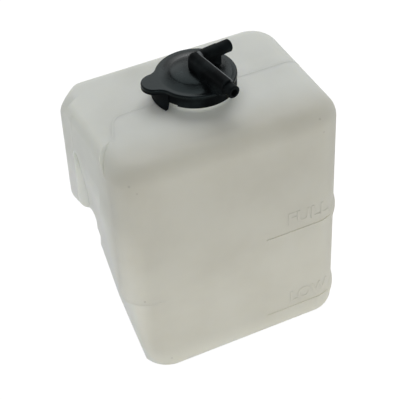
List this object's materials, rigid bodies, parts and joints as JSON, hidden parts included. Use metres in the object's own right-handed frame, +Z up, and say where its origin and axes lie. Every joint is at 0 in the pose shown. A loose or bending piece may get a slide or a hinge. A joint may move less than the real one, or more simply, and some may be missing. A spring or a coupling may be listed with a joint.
{
  "type": "coolant expansion tank",
  "caption": "Blow-moulded translucent coolant expansion tank with a stepped back, a bracket pocket and a push-on cap that carries hose nipples and a dip tube.",
  "frame": {"origin": "middle of the part's outline box, on the surface that it stands on", "axes": "+Z up along the neck, +X to the right of the face with the level marks, +Y to the rear"},
  "size_m": [0.1644, 0.118, 0.2157],
  "materials": {
    "tank": "satin, translucent",
    "cap": "satin",
    "seal": "matte",
    "tube": "satin"
  },
  "bodies": {
    "bottle": {"tank": "tank"},
    "gasket": {"cap_seal": "seal"},
    "lid": {"cap": "cap", "dip_tube": "tube"}
  },
  "joints": [
    {"name": "cap_lift", "type": "slide", "parent": "bottle", "child": "gasket", "axis": [0, 0, 1], "range_m": [0, 0.2]},
    {"name": "cap_swivel", "type": "hinge", "parent": "gasket", "child": "lid", "pos_m": [0.00145, 0.0041, 0.2], "axis": [0, 0, 1], "continuous": true}
  ]
}
